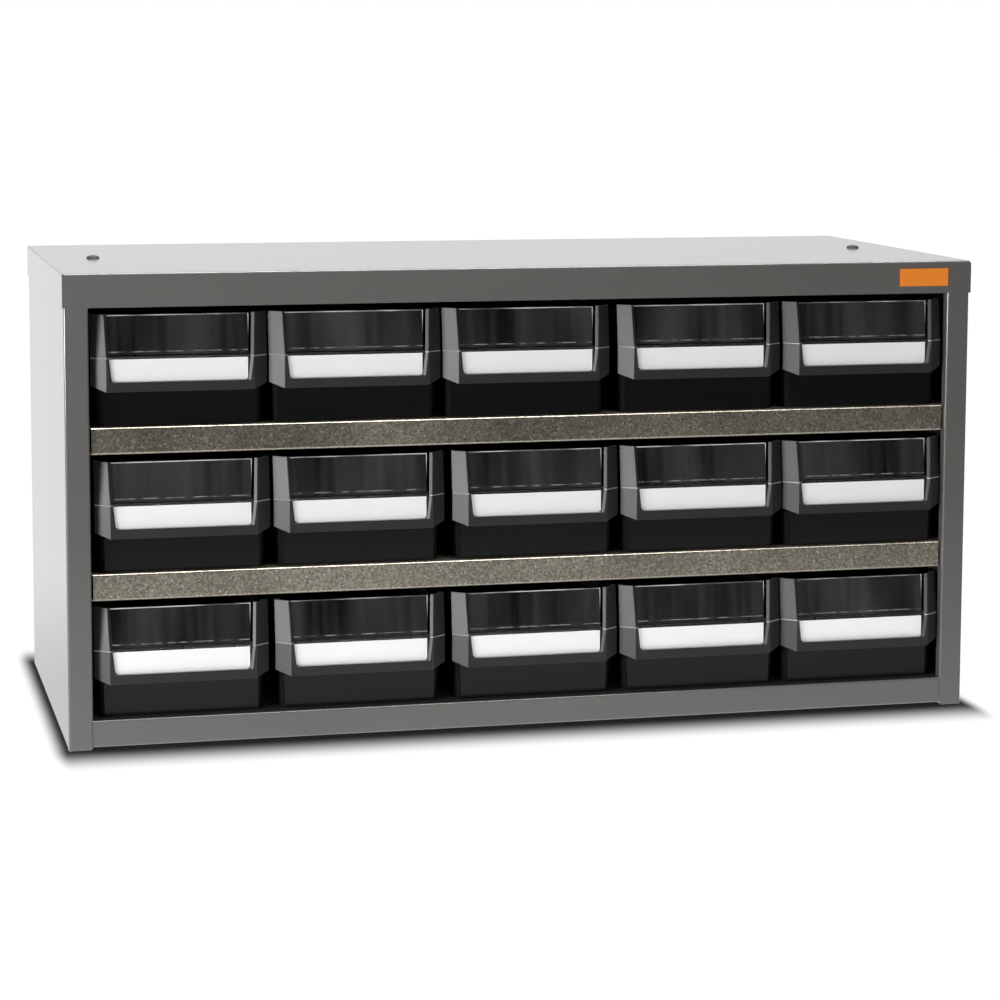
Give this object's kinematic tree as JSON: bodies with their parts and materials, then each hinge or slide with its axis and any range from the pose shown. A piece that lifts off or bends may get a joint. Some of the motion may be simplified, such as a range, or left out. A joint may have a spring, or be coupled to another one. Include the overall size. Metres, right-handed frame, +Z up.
{
  "type": "parts bin cabinet",
  "caption": "Folded steel cabinet with zinc shelves and rows of open-top bins that pull out to the front, each with a clear pane, a blank label and a hooded finger pull.",
  "frame": {"origin": "middle of the base in plan, on the surface that the cabinet stands on", "axes": "+X along the width, to the right seen from the front; +Y from the front to the back; +Z up"},
  "size_m": [0.9, 0.4006, 0.453],
  "materials": {
    "cabinet_paint": "dark grey powder coat, semi-gloss",
    "zinc_sheet": "zinc-coated sheet with fine speckle",
    "bin_plastic": "black moulded plastic, satin",
    "clear_pane": "clear plastic, glossy",
    "label_card": "white paper card, blank",
    "badge_orange": "orange plate, bare",
    "plug_black": "black push-in plug, satin"
  },
  "bodies": {
    "cabinet": {"top_lid": "cabinet_paint", "left_side_panel": "cabinet_paint", "right_side_panel": "cabinet_paint", "bottom_panel": "cabinet_paint", "back_panel": "cabinet_paint", "upper_shelf": "zinc_sheet", "lower_shelf": "zinc_sheet", "upper_shelf_support_left": "zinc_sheet", "upper_shelf_support_right": "zinc_sheet", "lower_shelf_support_left": "zinc_sheet", "lower_shelf_support_right": "zinc_sheet", "lid_plug_left": "plug_black", "lid_plug_right": "plug_black", "badge": "badge_orange"},
    "bin_body_r1c1": {"bin_r1c1": "bin_plastic", "window_r1c1": "clear_pane", "label_r1c1": "label_card"},
    "bin_body_r1c2": {"bin_r1c2": "bin_plastic", "window_r1c2": "clear_pane", "label_r1c2": "label_card"},
    "bin_body_r1c3": {"bin_r1c3": "bin_plastic", "window_r1c3": "clear_pane", "label_r1c3": "label_card"},
    "bin_body_r1c4": {"bin_r1c4": "bin_plastic", "window_r1c4": "clear_pane", "label_r1c4": "label_card"},
    "bin_body_r1c5": {"bin_r1c5": "bin_plastic", "window_r1c5": "clear_pane", "label_r1c5": "label_card"},
    "bin_body_r2c1": {"bin_r2c1": "bin_plastic", "window_r2c1": "clear_pane", "label_r2c1": "label_card"},
    "bin_body_r2c2": {"bin_r2c2": "bin_plastic", "window_r2c2": "clear_pane", "label_r2c2": "label_card"},
    "bin_body_r2c3": {"bin_r2c3": "bin_plastic", "window_r2c3": "clear_pane", "label_r2c3": "label_card"},
    "bin_body_r2c4": {"bin_r2c4": "bin_plastic", "window_r2c4": "clear_pane", "label_r2c4": "label_card"},
    "bin_body_r2c5": {"bin_r2c5": "bin_plastic", "window_r2c5": "clear_pane", "label_r2c5": "label_card"},
    "bin_body_r3c1": {"bin_r3c1": "bin_plastic", "window_r3c1": "clear_pane", "label_r3c1": "label_card"},
    "bin_body_r3c2": {"bin_r3c2": "bin_plastic", "window_r3c2": "clear_pane", "label_r3c2": "label_card"},
    "bin_body_r3c3": {"bin_r3c3": "bin_plastic", "window_r3c3": "clear_pane", "label_r3c3": "label_card"},
    "bin_body_r3c4": {"bin_r3c4": "bin_plastic", "window_r3c4": "clear_pane", "label_r3c4": "label_card"},
    "bin_body_r3c5": {"bin_r3c5": "bin_plastic", "window_r3c5": "clear_pane", "label_r3c5": "label_card"}
  },
  "joints": [
    {"name": "slide_r1c1", "type": "slide", "parent": "cabinet", "child": "bin_body_r1c1", "axis": [0, -1, 0], "range_m": [0, 0.34]},
    {"name": "slide_r1c2", "type": "slide", "parent": "cabinet", "child": "bin_body_r1c2", "axis": [0, -1, 0], "range_m": [0, 0.34]},
    {"name": "slide_r1c3", "type": "slide", "parent": "cabinet", "child": "bin_body_r1c3", "axis": [0, -1, 0], "range_m": [0, 0.34]},
    {"name": "slide_r1c4", "type": "slide", "parent": "cabinet", "child": "bin_body_r1c4", "axis": [0, -1, 0], "range_m": [0, 0.34]},
    {"name": "slide_r1c5", "type": "slide", "parent": "cabinet", "child": "bin_body_r1c5", "axis": [0, -1, 0], "range_m": [0, 0.34]},
    {"name": "slide_r2c1", "type": "slide", "parent": "cabinet", "child": "bin_body_r2c1", "axis": [0, -1, 0], "range_m": [0, 0.34]},
    {"name": "slide_r2c2", "type": "slide", "parent": "cabinet", "child": "bin_body_r2c2", "axis": [0, -1, 0], "range_m": [0, 0.34]},
    {"name": "slide_r2c3", "type": "slide", "parent": "cabinet", "child": "bin_body_r2c3", "axis": [0, -1, 0], "range_m": [0, 0.34]},
    {"name": "slide_r2c4", "type": "slide", "parent": "cabinet", "child": "bin_body_r2c4", "axis": [0, -1, 0], "range_m": [0, 0.34]},
    {"name": "slide_r2c5", "type": "slide", "parent": "cabinet", "child": "bin_body_r2c5", "axis": [0, -1, 0], "range_m": [0, 0.34]},
    {"name": "slide_r3c1", "type": "slide", "parent": "cabinet", "child": "bin_body_r3c1", "axis": [0, -1, 0], "range_m": [0, 0.34]},
    {"name": "slide_r3c2", "type": "slide", "parent": "cabinet", "child": "bin_body_r3c2", "axis": [0, -1, 0], "range_m": [0, 0.34]},
    {"name": "slide_r3c3", "type": "slide", "parent": "cabinet", "child": "bin_body_r3c3", "axis": [0, -1, 0], "range_m": [0, 0.34]},
    {"name": "slide_r3c4", "type": "slide", "parent": "cabinet", "child": "bin_body_r3c4", "axis": [0, -1, 0], "range_m": [0, 0.34]},
    {"name": "slide_r3c5", "type": "slide", "parent": "cabinet", "child": "bin_body_r3c5", "axis": [0, -1, 0], "range_m": [0, 0.34]}
  ]
}
